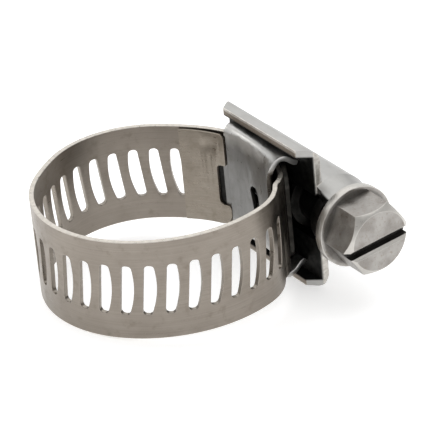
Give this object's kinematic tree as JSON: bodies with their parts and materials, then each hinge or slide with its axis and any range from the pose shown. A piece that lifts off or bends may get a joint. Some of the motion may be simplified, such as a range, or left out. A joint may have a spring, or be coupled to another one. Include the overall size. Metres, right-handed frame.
{
  "type": "hose clamp",
  "caption": "Worm-drive hose clamp: a perforated steel band closed by a slotted hexagon-head screw in a pressed housing.",
  "frame": {"origin": "centre of the hose bore, at mid-width of the band", "axes": "+Z along the hose bore; +X along the worm screw from its tip to its head; +Y from the bore out through the housing"},
  "size_m": [0.0353, 0.0372, 0.0182],
  "materials": {
    "band": "satin rolled stainless",
    "liner": "satin rolled stainless",
    "saddle": "satin pressed stainless",
    "housing": "smooth pressed stainless",
    "screw": "cold-headed, slightly rough"
  },
  "bodies": {
    "housing_group": {"housing": "housing", "saddle": "saddle", "bridge_liner": "liner", "band_fixed_end": "band"},
    "band_link_1": {"band_link_1": "band"},
    "band_link_2": {"band_link_2": "band"},
    "band_link_3": {"band_link_3": "band"},
    "band_link_4": {"band_link_4": "band"},
    "band_link_5": {"band_link_5": "band"},
    "band_link_6": {"band_link_6": "band"},
    "band_link_7": {"band_link_7": "band"},
    "band_link_8": {"band_link_8": "band"},
    "band_free_end": {"band_free_end": "band"},
    "worm_screw": {"worm_screw": "screw"}
  },
  "joints": [
    {"name": "worm_screw_turn", "type": "hinge", "parent": "housing_group", "child": "worm_screw", "pos_m": [0, 0.01795, 0], "axis": [-1, 0, 0], "range_deg": [0, 720]},
    {"name": "band_link_1_bend", "type": "hinge", "parent": "housing_group", "child": "band_link_1", "pos_m": [0.01303, 0.00799, 0], "axis": [0, 0, -1], "range_deg": [0, 2.86]},
    {"name": "band_link_2_bend", "type": "hinge", "parent": "band_link_1", "child": "band_link_2", "pos_m": [0.01444, 0.00303, 0], "axis": [0, 0, -1], "range_deg": [0, 2.5]},
    {"name": "band_link_3_bend", "type": "hinge", "parent": "band_link_2", "child": "band_link_3", "pos_m": [0.0133, -0.00461, 0], "axis": [0, 0, -1], "range_deg": [0, 1.99]},
    {"name": "band_link_4_bend", "type": "hinge", "parent": "band_link_3", "child": "band_link_4", "pos_m": [0.00872, -0.01082, 0], "axis": [0, 0, -1], "range_deg": [0, 1.98]},
    {"name": "band_link_5_bend", "type": "hinge", "parent": "band_link_4", "child": "band_link_5", "pos_m": [0.00162, -0.0138, 0], "axis": [0, 0, -1], "range_deg": [0, 1.84]},
    {"name": "band_link_6_bend", "type": "hinge", "parent": "band_link_5", "child": "band_link_6", "pos_m": [-0.00597, -0.01255, 0], "axis": [0, 0, -1], "range_deg": [0, 1.45]},
    {"name": "band_link_7_bend", "type": "hinge", "parent": "band_link_6", "child": "band_link_7", "pos_m": [-0.01179, -0.00748, 0], "axis": [0, 0, -1], "range_deg": [0, 1.24]},
    {"name": "band_link_8_bend", "type": "hinge", "parent": "band_link_7", "child": "band_link_8", "pos_m": [-0.01477, -0.0004, 0], "axis": [0, 0, -1], "range_deg": [0, 1.58]},
    {"name": "band_free_end_bend", "type": "hinge", "parent": "band_link_8", "child": "band_free_end", "pos_m": [-0.01283, 0.007, 0], "axis": [0, 0, -1], "range_deg": [0, 3.37]}
  ],
  "couplings": [
    {"joint": "band_link_1_bend", "follows": "worm_screw_turn", "ratio": 0.0039708},
    {"joint": "band_link_2_bend", "follows": "worm_screw_turn", "ratio": 0.0034745},
    {"joint": "band_link_3_bend", "follows": "worm_screw_turn", "ratio": 0.0027691},
    {"joint": "band_link_4_bend", "follows": "worm_screw_turn", "ratio": 0.002743},
    {"joint": "band_link_5_bend", "follows": "worm_screw_turn", "ratio": 0.0025601},
    {"joint": "band_link_6_bend", "follows": "worm_screw_turn", "ratio": 0.0020115},
    {"joint": "band_link_7_bend", "follows": "worm_screw_turn", "ratio": 0.0017242},
    {"joint": "band_link_8_bend", "follows": "worm_screw_turn", "ratio": 0.0021944},
    {"joint": "band_free_end_bend", "follows": "worm_screw_turn", "ratio": 0.0046762}
  ]
}
